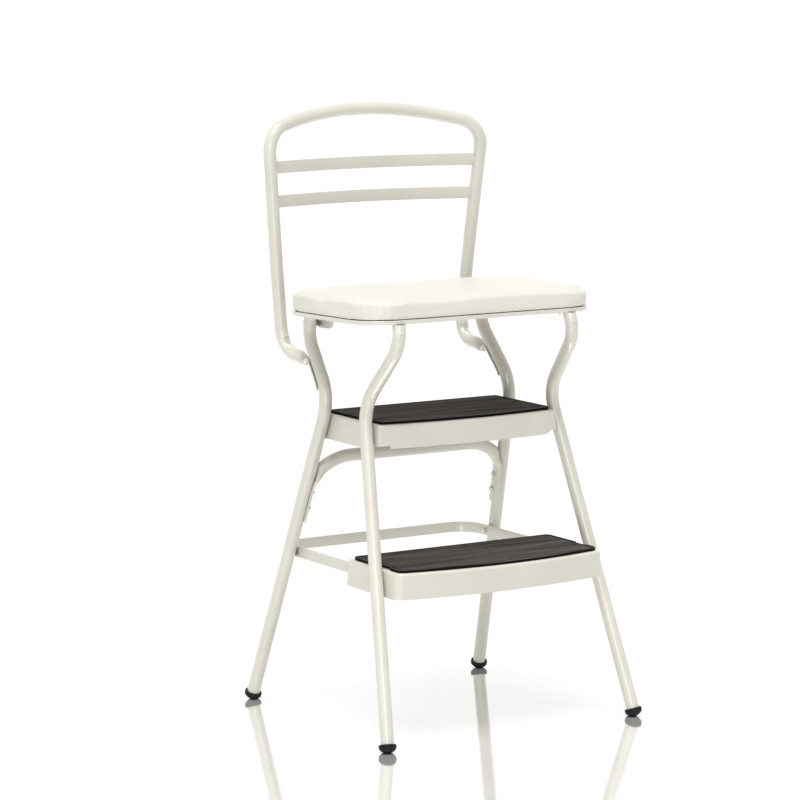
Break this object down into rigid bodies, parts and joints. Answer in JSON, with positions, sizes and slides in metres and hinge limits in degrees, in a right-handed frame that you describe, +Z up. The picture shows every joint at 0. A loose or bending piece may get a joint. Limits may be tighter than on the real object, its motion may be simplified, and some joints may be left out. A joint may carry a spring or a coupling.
{
  "type": "folding step stool chair",
  "caption": "Kitchen step stool chair: a padded seat that lifts on a rear hinge over sheet metal treads, on bent tube legs, with a tube back and flat slats",
  "frame": {"origin": "on the floor, under the middle of the chair's outer box", "axes": "+X to the right of someone who faces the front, +Y to the rear (the back rest's side), +Z up"},
  "size_m": [0.4504, 0.4304, 0.8828],
  "materials": {
    "cream_paint": "smooth semi-gloss enamel",
    "cream_vinyl": "fine-grained vinyl over foam",
    "mat_rubber": "ribbed, matt",
    "black_rubber": "smooth, slightly shiny",
    "bright_steel": "bright plated"
  },
  "bodies": {
    "frame": {"front_leg_left": "cream_paint", "front_foot_left": "black_rubber", "rear_leg_left": "cream_paint", "rear_foot_left": "black_rubber", "top_rail_left": "cream_paint", "seat_bumper_left": "black_rubber", "hinge_bolt_left": "bright_steel", "hinge_spacer_left": "black_rubber", "strap_leg_spacer_left": "black_rubber", "strap_tray_spacer_left": "black_rubber", "front_leg_right": "cream_paint", "front_foot_right": "black_rubber", "rear_leg_right": "cream_paint", "rear_foot_right": "black_rubber", "top_rail_right": "cream_paint", "seat_bumper_right": "black_rubber", "hinge_bolt_right": "bright_steel", "hinge_spacer_right": "black_rubber", "strap_leg_spacer_right": "black_rubber", "strap_tray_spacer_right": "black_rubber", "front_cross_bar": "cream_paint", "rear_cross_bar": "cream_paint", "upper_tread_tray": "cream_paint", "upper_tread_mat": "mat_rubber", "lower_tread_tray": "cream_paint", "lower_tread_mat": "mat_rubber", "rear_strap": "cream_paint", "arched_brace": "cream_paint", "back_tube": "cream_paint", "upper_slat": "cream_paint", "lower_slat": "cream_paint", "upper_tread_rivet_front_left": "bright_steel", "upper_tread_rivet_rear_left": "bright_steel", "lower_tread_rivet_front_left": "bright_steel", "brace_screw_upper_left": "bright_steel", "brace_screw_lower_left": "bright_steel", "strap_screw_left": "bright_steel", "strap_rivet_left": "bright_steel", "back_screw_lower_left": "bright_steel", "back_screw_upper_left": "bright_steel", "upper_tread_rivet_front_right": "bright_steel", "upper_tread_rivet_rear_right": "bright_steel", "lower_tread_rivet_front_right": "bright_steel", "brace_screw_upper_right": "bright_steel", "brace_screw_lower_right": "bright_steel", "strap_screw_right": "bright_steel", "strap_rivet_right": "bright_steel", "back_screw_lower_right": "bright_steel", "back_screw_upper_right": "bright_steel"},
    "seat": {"seat_pan": "cream_paint", "seat_cushion": "cream_vinyl", "hinge_ear_left": "cream_paint", "hinge_ear_right": "cream_paint"}
  },
  "joints": [
    {"name": "seat_lift", "type": "hinge", "parent": "frame", "child": "seat", "pos_m": [0, 0.11514, 0.5695], "axis": [-1, 0, 0], "range_deg": [0, 85]}
  ]
}
